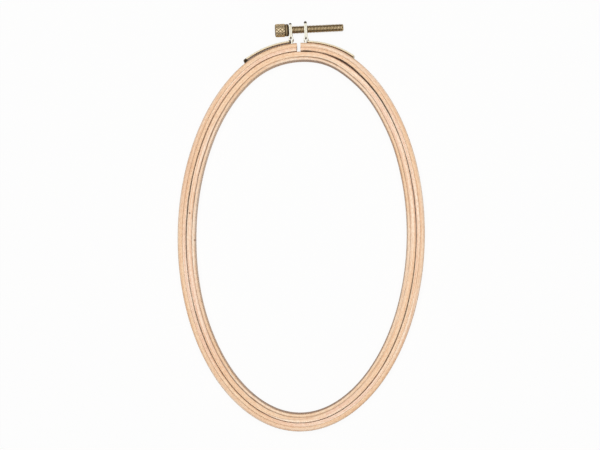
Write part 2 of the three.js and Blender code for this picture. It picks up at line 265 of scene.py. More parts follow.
# The screw's thread: rows of points follow the helix, so crest and root are clean edges
def screwThreadTree():
    rootFlat, crestStart = 0.1, 0.5  # of the way from the root's middle to the crest's
    sizes = ["length", "pitch", "crestRadius", "rootRadius", "tipRadius"]
    tree, given = newShapeTree("screw thread", {"Float": sizes, "Int": ["sides", "rowsPerTurn"]})
    perTurn, length, root = given["rowsPerTurn"], given["length"], given["rootRadius"]
    rows = ((length / given["pitch"] + 1) * perTurn).calc("CEIL") + 3
    grid, turn, row, offAxis = roundGrid(tree, given["sides"], rows)
    helix = (row - 1) / perTurn
    along = ((helix + (turn - 1)) * given["pitch"]).atLeast(0).atMost(length)
    rise = between(abs(helix % 1 * 2 - 1), rootFlat, crestStart, ease="LINEAR")
    radius = rise * (given["crestRadius"] - root) + root
    radius = endChamfer(radius, given["tipRadius"], along, length) * offAxis
    return wrapRound(given, grid, turn, along, radius, 1 - rise)


# The knob's drum: two sets of sloping grooves cross and leave diamonds
def knurledDrumTree():
    grooveFloor, grooveTop = 0.02, 0.26  # of half a diamond
    endDirt = 1.6  # how far the dirt reaches in from both ends, in chamfers
    sizes = ["length", "radius", "grooveDepth", "chamfer"]
    tree, given = newShapeTree("knurled drum", {"Float": sizes, "Int": ["diamonds", "columns", "rows"]})
    length, full, diamonds = given["length"], given["radius"], given["diamonds"]
    grid, turn, row, offAxis = roundGrid(tree, given["columns"], given["rows"])
    along = ((row - 1) / (given["rows"] - 3)).atLeast(0).atMost(1) * length
    climb = along / (full * fullTurn / diamonds)
    ridges = [abs((climb * slope + turn * diamonds) % 1 * 2 - 1) for slope in (1, -1)]
    cut = 1 - between(ridges[0].atMost(ridges[1]), grooveFloor, grooveTop, ease="LINEAR")
    fromEnd = along.atMost(length - along)
    groove = cut.atLeast(between(fromEnd, given["chamfer"] * endDirt, 0, ease="LINEAR"))
    radius = full - cut * given["grooveDepth"]
    radius = endChamfer(radius, full - given["chamfer"], along, length) * offAxis
    return wrapRound(given, grid, turn, along, radius, groove)


bentStrip = bentStripTree()
screwThread = screwThreadTree()
knurledDrum = knurledDrumTree()
print("hoop: shape trees are ready")


# Materials

def emptyTree(owner):  # of a material or a world
    owner.use_nodes = True
    owner.node_tree.nodes.clear()
    return owner.node_tree


def newMaterial(name):
    material = bpy.data.materials.new(name)
    return material, emptyTree(material)


def endMaterial(tree, kind, inputs):
    placeNode(tree, "ShaderNodeOutputMaterial", {"Surface": addNode(tree, kind, inputs)})


def readAttribute(tree, name, output="Fac"):
    return addNode(tree, "ShaderNodeAttribute", output=output, attribute_name=name)


def inMillimetres(place):
    return addNode(place.tree, "ShaderNodeVectorMath", {0: place, 1: [1 / mm] * 3}, operation="MULTIPLY")


def alongStrip(tree):
    return inMillimetres(readAttribute(tree, "strip", "Vector"))


# Noise in blotches of several kinds. A kind has a size in millimetres along, across and up, and the range of
# the noise over which it comes to show. Each kind's seed is one on from that before
class Blotches:

    def __init__(self, place, kinds, seed):
        self.place = place
        self.kinds = kinds
        self.seed = seed
        self.made = {}

    def noise(self, name):
        if name not in self.made:
            kind, tree = self.kinds[name], self.place.tree
            scale = {0: self.place, 1: [1 / length for length in kind["size"]]}
            scaled = addNode(tree, "ShaderNodeVectorMath", scale, operation="MULTIPLY")
            inputs = {"Vector": scaled, "W": self.seed + list(self.kinds).index(name), "Scale": 1.0,
                      "Detail": kind.get("detail", 2.0), "Roughness": kind.get("roughness", 0.5)}
            self.made[name] = addNode(tree, "ShaderNodeTexNoise", inputs, "Fac", noise_dimensions="4D")
        return self.made[name]

    def shown(self, name, most=1, least=0):
        return between(self.noise(name), *self.kinds[name]["range"], least, most)


def mixColours(share, first, second, blend="MIX"):
    inputs = {0: share, 6: first, 7: second}
    return addNode(share.tree, "ShaderNodeMix", inputs, 2, data_type="RGBA", blend_type=blend)


def bumps(relief, strength, height):
    inputs = {"Height": relief, "Strength": strength, "Distance": height}
    return addNode(relief.tree, "ShaderNodeBump", inputs)


woodBlotches = {
    "streaks": {"size": (45, 0.9, 2.5), "range": (0.39, 0.61)},
    "patches": {"size": (70, 9, 9), "detail": 1.0, "range": (0.35, 0.65)},
    "rings": {"size": (70, 0.45, 2.4), "detail": 1.0, "range": (0.45, 0.7)},
    "fibre": {"size": (5, 0.11, 0.11), "detail": 3.0, "roughness": 0.6, "range": (0.3, 0.7)},
    "flecks": {"size": (1.5, 0.17, 0.6), "detail": 1.0, "range": (0.66, 0.74)},
    "glue": {"size": (7, 3, 3), "range": (0.3, 0.6)},
    "pores": {"size": (0.13, 0.13, 0.13), "detail": 1.0, "range": (0.55, 0.68)},
    "paintedSeamShade": {"size": (11, 3, 3), "range": (0.3, 0.65)},
    "mottle": {"size": (1.7, 0.8, 1.2), "detail": 1.0, "range": (0.42, 0.62)},
}


# Fine-sanded beech, sliced along the grain. Each ply says what differs
def beechMaterial(name, look):
    material, tree = newMaterial(name)
    place = alongStrip(tree)
    along, depth, height = separate(place)
    scarfLine = 0
    if "scarf" in look:  # where the strip's two ends lap in a long taper and the ring closes
        past = depth / look["thickness"] - along / look["scarf"]
        along = past.above(0) * look["round"] + along
        place = combine(tree, along, depth, height)
        scarfLine = between(abs(past), *look["scarfEdge"], look["scarfDark"], 0)

    wood = Blotches(place, woodBlotches, look["seed"])
    colour = mixColours(wood.shown("streaks"), look["cream"], look["pink"])
    colour = mixColours(wood.shown("patches", look["patch"]), colour, look["warm"])
    colour = mixColours(wood.shown("rings", look["rings"]), colour, look["ringTone"], "MULTIPLY")
    colour = mixColours(wood.shown("mottle", look["mottle"]), colour, look["ringTone"], "MULTIPLY")
    colour = mixColours(wood.shown("fibre", look["fibre"]), colour, look["fibreTone"])
    fleck = wood.shown("flecks", look["flecks"])
    colour = mixColours(fleck, colour, look["fleckTone"])

    seep = readAttribute(tree, "glueShow") * wood.shown("glue", 1, look["glueLeast"]) * look["seep"]
    stain = seep * between(abs(depth - look["glueAt"]), *look["seepReach"], 1, 0)
    colour = mixColours(stain.atLeast(scarfLine), colour, look["glue"])
    if "paintedWallShade" in look:  # painted shade on the wall inside the hoop, more about some angles
        shade = readAttribute(tree, "paintedWallShadeShow") * between(depth, 0, look["paintedWallShadeReach"], 1, 0)
        colour = mixColours(shade, colour, look["paintedWallShade"], "MULTIPLY")
    if "paintedFootShadeAt" in look:  # painted shade on the wood beside the brackets' feet, in the crevice under the strip
        mark = readAttribute(tree, "paintedFootShadeShow") * between(depth, *look["paintedFootShadeAt"])
        colour = mixColours(mark, colour, look["paintedFootShade"])
    if "seamAt" in look:  # painted shade in the seam between the rings: the edge beside the other ring is darkened, most of all at its two rims
        paintedSeamShade = readAttribute(tree, "paintedSeamShadeShow") * wood.shown("paintedSeamShade", 1, look["paintedSeamShadeLeast"])
        paintedSeamShade = paintedSeamShade * between(abs(depth - look["seamAt"]), *look["seamReach"], 1, 0)
        rim = between(abs(height - look["halfTall"]), *look["rim"], look["hiddenPaintedSeamShade"], 1)
        colour = mixColours(paintedSeamShade * rim, colour, look["paintedSeamShade"])

    for where, deep, size in look.get("knots", ()):
        centre = {0: combine(tree, along, depth), 1: (where, deep, 0)}
        apart = addNode(tree, "ShaderNodeVectorMath", centre, "Value", operation="DISTANCE")
        knotted = between(apart, size * look["knotCore"], size, look["knotShare"], 0)
        colour = mixColours(knotted, colour, look["knot"])

    sawn = readAttribute(tree, "cutEnd") * (wood.shown("pores", look["pores"]) + look["endGrain"])
    colour = mixColours(sawn, colour, look["endTone"])
    relief = wood.noise("fibre") - fleck * look["fleckDepth"]
    inputs = {"Base Color": colour, "Roughness": wood.shown("fibre", look["rough"], look["smooth"]),
              "Normal": bumps(relief, 0.35, 0.04 * mm)}
    endMaterial(tree, "ShaderNodeBsdfPrincipled", inputs)
    return material


glueBlotches = {
    "thin": {"size": (9, 1, 1), "range": (0.4, 0.62)},
    "grains": {"size": (0.4, 0.2, 0.2)},
}


def glueMaterial(name, look):
    material, tree = newMaterial(name)
    glue = Blotches(alongStrip(tree), glueBlotches, look["seed"])
    thin = glue.shown("thin") * (1 - readAttribute(tree, "glueShow"))
    inputs = {"Base Color": mixColours(thin, look["dark"], look["light"]), "Roughness": 0.5,
              "Normal": bumps(glue.noise("grains"), 0.4, 0.03 * mm)}
    endMaterial(tree, "ShaderNodeBsdfPrincipled", inputs)
    return material


brassBlotches = {
    "cloud": {"size": (2.6, 2.6, 2.6), "detail": 4.0, "roughness": 0.6, "range": (0.35, 0.68)},
    "spots": {"size": (0.5, 0.5, 0.5), "range": (0.6, 0.72)},
    "lines": {"size": (7, 0.05, 0.05), "range": (0.4, 0.7)},
    "dents": {"size": (0.7, 0.7, 0.7)},
    "dulled": {"size": (6, 2, 2.5), "detail": 3.0, "roughness": 0.6, "range": (0.4, 0.66)},
}


# Brass with a thin tarnish: drawn strip, rolled thread or cut knurl, by how much each line shows
def brassMaterial(name, look):
    material, tree = newMaterial(name)
    strip = alongStrip(tree)
    place = inMillimetres(addNode(tree, "ShaderNodeTexCoord", output="Object"))
    allOver = Blotches(place, brassBlotches, look["seed"])
    lengthways = Blotches(strip, brassBlotches, look["seed"])
    cloud = allOver.shown("cloud", look["tarnish"])
    colour = mixColours(cloud, look["bright"], look["dull"])
    lines = lengthways.noise("lines")
    colour = mixColours(lengthways.shown("lines", look["drawn"]), colour, look["dull"])
    # Dark tarnish in spots and in the grooves of thread, knurl and the collar's neck; at the bends, the fold
    # and the tooth's end tarnish with painted shade; on the collar's face and shoulder painted shade
    grooveDark = between(readAttribute(tree, "groove"), *look["grooveRange"], 0, look["grooveTarnishAndShade"])
    bendDark = between(readAttribute(tree, "bend"), *look["bendRange"], 0, look["bendTarnishAndShade"])
    tarnishAndShade = allOver.shown("spots", look["spots"]).atLeast(grooveDark).atLeast(bendDark)
    film = look["film"]
    if "hiddenSide" in look:  # only the sheared edges are pale, and the side towards the ring is never rubbed
        travel, deep, height = separate(strip)
        onFoot = between(travel, look["footTravel"], look["footTravel"] + look["footFade"], 1, 0)
        rolled = between(abs(height - look["halfTall"]), *look["edgeRange"], look["rolled"], 0)
        rolled = rolled.atLeast(onFoot * look["footYellow"])
        yellow = mixColours(lengthways.shown("dulled", look["dulled"]), look["yellow"], look["dullYellow"])
        streaks = between(lines, *look["streakRange"], 0, look["streaks"])
        yellow = mixColours(streaks, yellow, look["dullYellow"])
        colour = mixColours(rolled, colour, yellow)
        hidden = onFoot.atLeast(look["loopFilm"]) * between(deep, *look["hiddenSide"])
        colour = mixColours(hidden, colour, look["olive"])
        film = hidden.atLeast(film)

    rough = cloud * look["tarnishRough"] + look["roughness"]
    relief = lines * look["drawn"] + allOver.noise("dents")
    inputs = {
        "Base Color": mixColours(tarnishAndShade, colour, look["tarnishAndShade"]),
        "Metallic": (1 - tarnishAndShade) * (1 - film),
        "Roughness": tarnishAndShade * look["tarnishAndShadeRough"] + rough,
        "Normal": bumps(relief, 0.3, 0.03 * mm),
        "Specular Tint": look["edge"],
        "Coat Weight": look["lacquer"],
        "Coat IOR": look["lacquerIor"],
        "Coat Tint": look["lacquerTint"],
    }
    endMaterial(tree, "ShaderNodeBsdfPrincipled", inputs)
    return material


# The oval that both rings follow. An ease moves them in by a length, at an angle from +Y towards +X

oval = {
    "halfLength": 102.15 * mm,  # to the inner ring's outer face
    "halfWidth": 62.95 * mm,
    "farSwell": 0.3 * mm,
    "steps": 900,
    "nudge": 0.0005,
}
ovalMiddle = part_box("inner_ring_outer_ply")[0].y + oval["halfLength"] + oval["farSwell"]
ovalEases = [
    {"in": 0.95 * mm, "at": -3, "reach": 26},  # flatter at the clamp
    {"in": -oval["farSwell"], "at": 180, "reach": 32},
]


def hump(angle, at, reach):  # 1 at an angle, falling to 0 at its reach on both sides
    away = (angle - radians(at) + pi) % fullTurn - pi
    return cos(min(abs(away) / radians(reach), 1) * pi / 2) ** 2


def ovalNormal(angle):
    return Vector((sin(angle) / oval["halfWidth"], cos(angle) / oval["halfLength"])).normalized()


def ovalPoint(angle, outside, eases=()):
    point = Vector((oval["halfWidth"] * sin(angle), ovalMiddle + oval["halfLength"] * cos(angle)))
    inward = sum(ease["in"] * hump(angle, ease["at"], ease["reach"]) for ease in [*ovalEases, *eases])
    return point + ovalNormal(angle) * (outside - inward)


# How much the glue, the seam's painted shade, the inner wall's painted shade and the painted shade by the
# feet show: a share all round, and more or less about some angles, each with its reach
lineMarks = {
    "glueShow": {"all": 0.4, "more": [(14, 30, 0.5), (212, 38, 0.55), (300, 50, 0.5), (110, 50, -0.25)]},
    "paintedSeamShadeShow": {
        "all": 0.22,
        "more": [(1, 4, 0.5), (24, 40, 0.78), (48, 15, 0.3), (78, 20, 0.15), (120, 25, 0.2), (244, 20, 0.3),
                 (278, 22, 0.45), (306, 18, 0.3), (345, 20, -0.12), (180, 30, -0.2)],
    },
    "paintedWallShadeShow": {"all": 0.25, "more": [(20, 60, 0.55), (140, 60, 0.45), (190, 60, 0.45)]},
    "paintedFootShadeShow": {"all": 0.0, "more": [(-18, 15, 0.9), (-8, 6, 0.4), (10, 14, 0.1), (23, 6, 0.5)]},
}


def markAt(angle, marks):
    total = marks["all"] + sum(share * hump(angle, at, reach) for at, reach, share in marks["more"])
    return max(0.0, min(1.0, total))


# A strip that follows the oval from one angle to another
def ringStrip(name, ply, start, end, eases=()):
    middle = (ply["inside"] + ply["outside"]) / 2
    angles = [start + (end - start) * k / oval["steps"] for k in range(oval["steps"] + 1)]
    angles[1:1] = [start + oval["nudge"]]  # both ends of a closed ring then point the same way
    angles[-1:-1] = [end - oval["nudge"]]
    path = pathObject(name, [(*ovalPoint(angle, middle, eases), 0) for angle in angles])
    for mark, marks in lineMarks.items():
        markPoints(path, mark, [markAt(angle, marks) for angle in angles])
    half = (ply["outside"] - ply["inside"]) / 2
    closed = end - start >= fullTurn - 1e-9
    return addShape(path, bentStrip, {**ply, "inside": -half, "outside": half, "ends": not closed})


def zeroBetween(low, high, value):  # where a rising or falling function is zero
    rising = value(high) > value(low)
    for step in range(50):
        middle = (low + high) / 2
        if (value(middle) > 0) == rising:
            high = middle
        else:
            low = middle
    return (low + high) / 2


# Rings

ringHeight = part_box("inner_ring_outer_ply")[1].z
halfTall = ringHeight / 2 / mm
beech = {
    "cream": "fdecd8", "pink": "f0cdb6", "warm": "eec99f", "patch": 0.6, "rings": 0.45, "ringTone": "e6c8b0",
    "mottle": 0.35, "fibre": 0.16, "fibreTone": "c89a74", "flecks": 0.4, "fleckTone": "a06f48",
    "fleckDepth": 0.6, "glue": "5e3f22", "glueLeast": 0.35, "seep": 1.0, "seepReach": (0.02, 0.55),
    # The seam's dark colour and the dark colour beside the brackets' feet, below, are painted shade
    "scarfDark": 0.5, "scarfEdge": (0.01, 0.06), "seamReach": (0.05, 0.65), "paintedSeamShade": "38261a",
    "paintedSeamShadeLeast": 0.3, "halfTall": halfTall, "rim": (halfTall - 1.6, halfTall - 0.4), "hiddenPaintedSeamShade": 0.2,
    "knot": "6e4526", "knotShare": 0.8, "knotCore": 0.4, "paintedFootShade": "9c7233", "pores": 0.6, "endGrain": 0.35,
    "endTone": "9a6c47", "smooth": 0.52, "rough": 0.7, "round": 536.0,  # millimetres along a ply, once round
}
ringGlue = glueMaterial("ring glue", {"dark": "6b4930", "light": "c79f78", "seed": 3.0})
rings = {
    "seamEdge": 0.35 * mm,
    "glueEdge": 0.06 * mm,
    "outerRounding": 1.7 * mm,
    "innerRounding": 1.2 * mm,
    "glueSink": 0.07 * mm,  # how far the glue lies below the wood
    "edgeSteps": 6,
}
innerEases = [
    {"in": 0.4 * mm, "at": 25, "reach": 17},  # the wide part of the seam, beside the right foot
    {"in": -0.15 * mm, "at": 250, "reach": 20},
    {"in": -0.13 * mm, "at": 60, "reach": 10},
    {"in": -0.15 * mm, "at": 310, "reach": 18},
]


def ply(name, look, inside, outside, innerEdge, outerEdge, drop=0.0, lift=0.0):
    return {"inside": inside * mm, "outside": outside * mm, "low": lift * mm, "high": ringHeight - drop * mm,
            "innerEdge": rings[innerEdge], "outerEdge": rings[outerEdge], "edgeSteps": rings["edgeSteps"],
            "material": beechMaterial("beech, " + name, look)}


def glueLine(inside, outside):
    return {"inside": inside * mm, "outside": outside * mm, "low": rings["glueSink"],
            "high": ringHeight - rings["glueSink"], "innerEdge": 0.0, "outerEdge": 0.0, "edgeSteps": 1,
            "material": ringGlue}


def travelTo(start, angle, outside):  # millimetres along a strip from its start to an angle
    steps = 200
    points = [ovalPoint(start + (angle - start) * k / steps, outside) for k in range(steps + 1)]
    return sum((b - a).length for a, b in zip(points, points[1:])) / mm


def innerRing():
    outerLook = {**beech, "seed": 1.0, "glueAt": 0.0, "seamAt": 2.9, "thickness": 2.9, "scarf": 38.0}
    innerLook = {**beech, "seed": 21.0, "glueAt": 1.7, "thickness": 1.7, "scarf": 30.0,
                 "cream": "fcecd9", "pink": "f2d6bb", "paintedWallShade": "94785c", "paintedWallShadeReach": 0.45}
    outerScarf, innerScarf = radians(166), radians(206)
    outerLook["knots"] = [(travelTo(outerScarf, radians(276.7), -1.45 * mm), 1.65, 0.7)]
    innerLook["knots"] = [(travelTo(innerScarf, radians(268.3), -3.8 * mm), 0.3, 0.6)]
    outerPly = ply("inner ring outside", outerLook, -2.9, 0.0, "glueEdge", "seamEdge")
    innerPly = ply("inner ring inside", innerLook, -4.7, -3.0, "innerRounding", "glueEdge", 0.04, 0.02)
    outside = ringStrip("innerRingOuterPly", outerPly, outerScarf, outerScarf + fullTurn, innerEases)
    inside = ringStrip("innerRingInnerPly", innerPly, innerScarf, innerScarf + fullTurn, innerEases)
    glue = ringStrip("innerRingGlue", glueLine(-3.04, -2.86), 0.0, fullTurn, innerEases)
    nodes = ((outside, "inner_ring_outer_ply", "beech"), (inside, "inner_ring_inner_ply", "beech_edge"))
    for piece, node, slot in nodes:
        finishMesh(piece)
        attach(piece, "inner_ring")
        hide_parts(node)
    finishMesh(glue)
    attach(glue, "inner_ring")


innerRing()
print("hoop: the inner ring is bent and glued")

gap = {"middle": -2.7 * mm, "width": 2.0 * mm}


# The angle at which a ply's middle line crosses one face of the gap
def gapAngle(side, outside):
    x = gap["middle"] + side * gap["width"] / 2
    return zeroBetween(-pi / 4, pi / 4, lambda angle: ovalPoint(angle, outside).x - x)


# The ring is one springy strip, and the imported model has a hinge in it; here each ply is baked where it
# stands and the imported plies it replaces are hidden
def rideOuterRing(piece, nodes):
    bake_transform(piece)
    if nodes:
        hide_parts(*nodes)


def squareEnds(piece):  # both faces of the gap are sawn square to the screw
    right = gap["middle"] + gap["width"] / 2
    left = gap["middle"] - gap["width"] / 2
    for vertex in piece.data.vertices:
        if vertex.co.y > 0 and left < vertex.co.x < right:
            vertex.co.x = right if vertex.co.x > gap["middle"] else left


def outerRing():
    innerLook = {**beech, "seed": 41.0, "glueAt": 1.95, "seamAt": 0.0, "seep": 0.2}
    outerLook = {**beech, "seed": 61.0, "glueAt": 0.0, "seep": 0.2, "cream": "f6e2cc", "pink": "ebcaad",
                 "paintedFootShadeAt": (1.9, 2.6)}
    plies = {
        "outerRingInnerPly": ply("outer ring inside", innerLook, 0.3, 2.25, "seamEdge", "glueEdge"),
        "outerRingOuterPly": ply("outer ring outside", outerLook, 2.35, 4.99, "glueEdge", "outerRounding",
                                 0.05, 0.02),
        "outerRingGlue": glueLine(2.21, 2.39),
    }
    made = []
    for name, own in plies.items():
        middle = (own["inside"] + own["outside"]) / 2
        made.append(ringStrip(name, own, gapAngle(1, middle), gapAngle(-1, middle) + fullTurn))
        finishMesh(made[-1])
        squareEnds(made[-1])
    return made


outerPlies = outerRing()
print("hoop: the outer ring is bent and glued")


# Brackets: one brass strip each, from the tooth in the wood along the foot, up into the doubled ear, and
# down through the ring to the end that is clinched on its inside

bracket = {
    "ringInside": 0.3 * mm,  # from the oval to the outer ring's two faces
    "ringOutside": 5.05 * mm,
    "thickness": 0.8 * mm,
    "inset": 1.0 * mm,  # the strip's edges from the ring's two faces
    "toothDepth": 3.4 * mm,
    "bendInside": 0.15 * mm,
    "legGap": 0.02 * mm,
    "loopInside": 1.15 * mm,
    "loopLean": radians(40),
    "loopMiddle": 1.9 * mm,  # above the wood: the darkening, tarnish with painted shade, lies below it
    "loopBottomShare": 0.47,
    "setback": 3.15 * mm,  # of an ear from the gap's face
    "clinchInset": 0.15 * mm,
    "clinchLength": 3.0 * mm,
    "clinchSteps": 8,
    "recessPlay": 0.08 * mm,
    "recessPast": 0.1 * mm,  # past the wood's face, for a clean cut
    "innerEdge": 0.06 * mm,
    "outerEdge": 0.06 * mm,
    "edgeSteps": 3,
    "cornerRadius": 1.6 * mm,
    "cornerSteps": 8,
    "bendStep": radians(7),
    "footSteps": 60,
    "holeSides": 64,
}
# The rise is from the screw's axis to the fold's top. A foot's gap to the ring changes from its ear to its
# tooth. The low bends and the tooth's end have a share of the fold's darkening, tarnish with painted shade
ears = {
    "left": {"side": -1, "rise": 3.3 * mm, "hole": 4.4 * mm, "footLength": 28.6 * mm, "nearGap": 0.75 * mm,
             "farGap": 0.95 * mm, "lowBends": 0.7, "toothEnd": 1.0, "darkEnd": 0.65 * mm,
             "darkFold": 0.8 * mm, "loopFilm": 0.6, "hiddenSide": (0.1, 0.01)},
    "right": {"side": 1, "rise": 3.95 * mm, "hole": 4.5 * mm, "footLength": 28.4 * mm, "nearGap": 0.2 * mm,
              "farGap": 0.5 * mm, "lowBends": 0.45, "toothEnd": 0.5, "darkEnd": 0.2 * mm,
              "darkFold": 1.2 * mm, "loopFilm": 0.0, "hiddenSide": (0.7, 0.79)},
}
screwPoint = Vector(joints["screw_turn"]["pos_m"])
screwAxis = -Vector(joints["screw_turn"]["axis"])  # from the knob to the tip
stripHalf = bracket["thickness"] / 2
legOffset = (bracket["thickness"] + bracket["legGap"]) / 2
bendRadius = bracket["bendInside"] + stripHalf
ringOutside = bracket["ringOutside"]
clinchLine = bracket["ringInside"] + bracket["clinchInset"] + stripHalf

brass = {
    "tarnishAndShade": "34240f", "edge": "5c4526", "tarnish": 0.4, "spots": 0.25, "grooveTarnishAndShade": 0.0,
    "grooveRange": (0.25, 0.9), "drawn": 0.0, "bendTarnishAndShade": 0.0, "bendRange": (0.2, 0.8), "roughness": 0.3,
    "tarnishRough": 0.2, "tarnishAndShadeRough": 0.3, "film": 0.0, "lacquer": 0.0, "lacquerIor": 1.05,
    "lacquerTint": "ffffff",
}
stripTall = (ringHeight / 2 - bracket["inset"]) / mm
drawnBrass = {
    **brass, "bright": "fffdf0", "dull": "f8efd0", "yellow": "eccf8e", "dullYellow": "b8924e",
    "olive": "dca43a", "rolled": 0.85, "edgeRange": (stripTall - 0.12, stripTall - 0.02), "dulled": 0.55,
    "streaks": 0.3, "streakRange": (0.45, 0.7), "footYellow": 0.4, "footFade": 1.0, "drawn": 0.3,
    "tarnish": 0.3, "spots": 0.1, "bendTarnishAndShade": 0.95, "roughness": 0.35, "halfTall": stripTall,
}
wornBrass = {**brass, "bright": "fff6e2", "dull": "e0cda2", "film": 0.15, "lacquer": 1.0,
             "lacquerTint": "e0d4be"}


class BentLine:  # a line drawn by going straight and turning; its heading is clockwise from the second axis

    def __init__(self, start, heading):
        self.points = [start]
        self.heading = heading

    def go(self, length):
        self.points.append(self.points[-1] + Vector((sin(self.heading), cos(self.heading))) * length)
        return self

    def turnTo(self, heading, radius):
        turn = copysign(1, heading - self.heading)
        centre = self.points[-1] + Vector((cos(self.heading), -sin(self.heading))) * turn * radius
        steps = max(3, ceil(abs(heading - self.heading) / bracket["bendStep"]))
        for k in range(1, steps + 1):
            angle = self.heading + (heading - self.heading) * k / steps
            self.points.append(centre - Vector((cos(angle), -sin(angle))) * turn * radius)
        self.heading = heading
        return self


# An ear's own axes: the first away from the gap along the screw, the second up the ear
class EarFrame:

    def __init__(self, own):
        self.own = own
        self.nearLine = ringOutside + own["nearGap"] + stripHalf
        self.farLine = ringOutside + own["farGap"] + stripHalf
        across = screwAxis.xy
        self.away = across * own["side"]
        self.up = Vector((-across.y, across.x))
        x = gap["middle"] + own["side"] * (gap["width"] / 2 + bracket["setback"])
        self.angle = zeroBetween(-pi / 3, pi / 3, lambda angle: ovalPoint(angle, ringOutside).x - x)
        self.base = ovalPoint(self.angle, ringOutside)
        self.alongScrew = (self.base - screwPoint.xy).dot(across)
        self.foldTop = (screwPoint.xy + across * self.alongScrew - self.base).dot(self.up) + own["rise"]

    def turn(self, vector):
        return Vector((vector.dot(self.away), vector.dot(self.up)))

    def local(self, point):
        return self.turn(point - self.base)

    def world(self, point):
        return self.base + self.away * point.x + self.up * point.y

    def curve(self, start, end, steps, first, last):  # the distance from the oval goes from first to last
        shares = [k / steps for k in range(1, steps + 1)]
        return [self.local(ovalPoint(start + (end - start) * s, first + (last - first) * s)) for s in shares]

    def along(self, start, outside, length):  # the angle reached after a length along the oval
        step = radians(0.1) * self.own["side"]
        angle = start
        while length > 0:
            length -= (ovalPoint(angle, outside) - ovalPoint(angle + step, outside)).length
            angle += step
        return angle

    # Where a bend whose centre is at a distance from the ear's middle meets the oval
    def bendOnto(self, outside, centreAcross):
        def centre(angle):
            return self.local(ovalPoint(angle, outside) + ovalNormal(angle) * bendRadius).x
        reach = radians(40)
        angle = zeroBetween(self.angle - reach, self.angle + reach, lambda a: centre(a) - centreAcross)
        normal = self.turn(ovalNormal(angle))
        return angle, self.local(ovalPoint(angle, outside)), atan2(normal.x, normal.y)


def clinchLinePoints(ear):
    angle, start, slope = ear.bendOnto(clinchLine, bendRadius - legOffset)
    end = ear.along(angle, clinchLine, bracket["clinchLength"] - bendRadius)
    return start, slope, ear.curve(angle, end, bracket["clinchSteps"], clinchLine, clinchLine)


def bracketLine(ear):
    lean = bracket["loopLean"]
    swell = (bracket["loopInside"] - bracket["legGap"]) / 2
    lowRadius = swell * bracket["loopBottomShare"] / (1 - cos(lean))
    highRadius = swell * (1 - bracket["loopBottomShare"]) / (1 - cos(lean))

    toothAngle = ear.along(ear.angle, ear.farLine, ear.own["footLength"] - bendRadius - stripHalf)
    normal = ear.turn(ovalNormal(toothAngle))
    slope = atan2(normal.x, normal.y)
    shoulder = ear.local(ovalPoint(toothAngle, ear.farLine)) - normal * bendRadius
    shoulder += Vector((normal.y, -normal.x)) * bendRadius
    depth = bracket["toothDepth"] + ear.own["farGap"] + stripHalf - bendRadius
    line = BentLine(shoulder - normal * depth, slope).go(depth).turnTo(slope - pi / 2, bendRadius)

    neckAcross = legOffset + swell * (1 - bracket["loopBottomShare"]) + bendRadius * cos(lean)
    neckAngle, _, neckSlope = ear.bendOnto(ear.nearLine, neckAcross)
    line.points += ear.curve(toothAngle, neckAngle, bracket["footSteps"], ear.farLine, ear.nearLine)
    ear.footTravel = sum((b - a).length for a, b in zip(line.points, line.points[1:]))
    line.heading = neckSlope - pi / 2
    line.turnTo(lean, bendRadius).turnTo(-lean, lowRadius).turnTo(0, highRadius)
    leg = ear.foldTop - stripHalf - legOffset - line.points[-1].y
    line.go(leg).turnTo(-pi, legOffset).go(leg)
    line.turnTo(lean - pi, highRadius).turnTo(-lean - pi, lowRadius).turnTo(-pi, highRadius)

    start, clinchSlope, clinch = clinchLinePoints(ear)
    down = line.points[-1].y - start.y - bendRadius * cos(clinchSlope)
    line.go(down).turnTo(clinchSlope - 1.5 * pi, bendRadius)
    return line.points + clinch


# How dark the strip is, with tarnish and painted shade: 1 at the fold, less in the other bends and at the
# tooth's end, and 0 where the strip runs straight
def bendShare(ear, line):
    darkReach = bracket["toothDepth"] + ear.own["farGap"] + ear.own["darkEnd"]
    shares = [1.0]
    for before, point, after in zip(line, line[1:], line[2:]):
        turned = abs((point - before).angle_signed(after - point, 0.0))
        travelled = ((point - before).length + (after - point).length) / 2
        share = min(1.0, turned / travelled * bendRadius)
        if (point - line[0]).length < darkReach:
            share = ear.own["toothEnd"]
        elif ear.foldTop - point.y < ear.own["darkFold"]:
            share = 1.0
        else:
            share *= ear.own["lowBends"] if point.y < bracket["loopMiddle"] else 0.0
        shares.append(share)
    return [*shares, 0.0]


def stripAlong(name, ear, line, inside, outside, inset, material):
    strip = pathObject(name, [(*ear.world(point), 0) for point in line])
    # The darkening at the bends is tarnish with painted shade
    markPoints(strip, "bend", bendShare(ear, line))
    values = {**bracket, "inside": inside, "outside": outside, "low": inset, "high": ringHeight - inset,
              "ends": True, "material": material}
    return addShape(strip, bentStrip, values)


def cutAway(piece, cutter):
    cut = piece.modifiers.new("cut", "BOOLEAN")
    cut.operation = "DIFFERENCE"
    cut.object = cutter
    applyModifiers(piece)
    bpy.data.objects.remove(cutter)


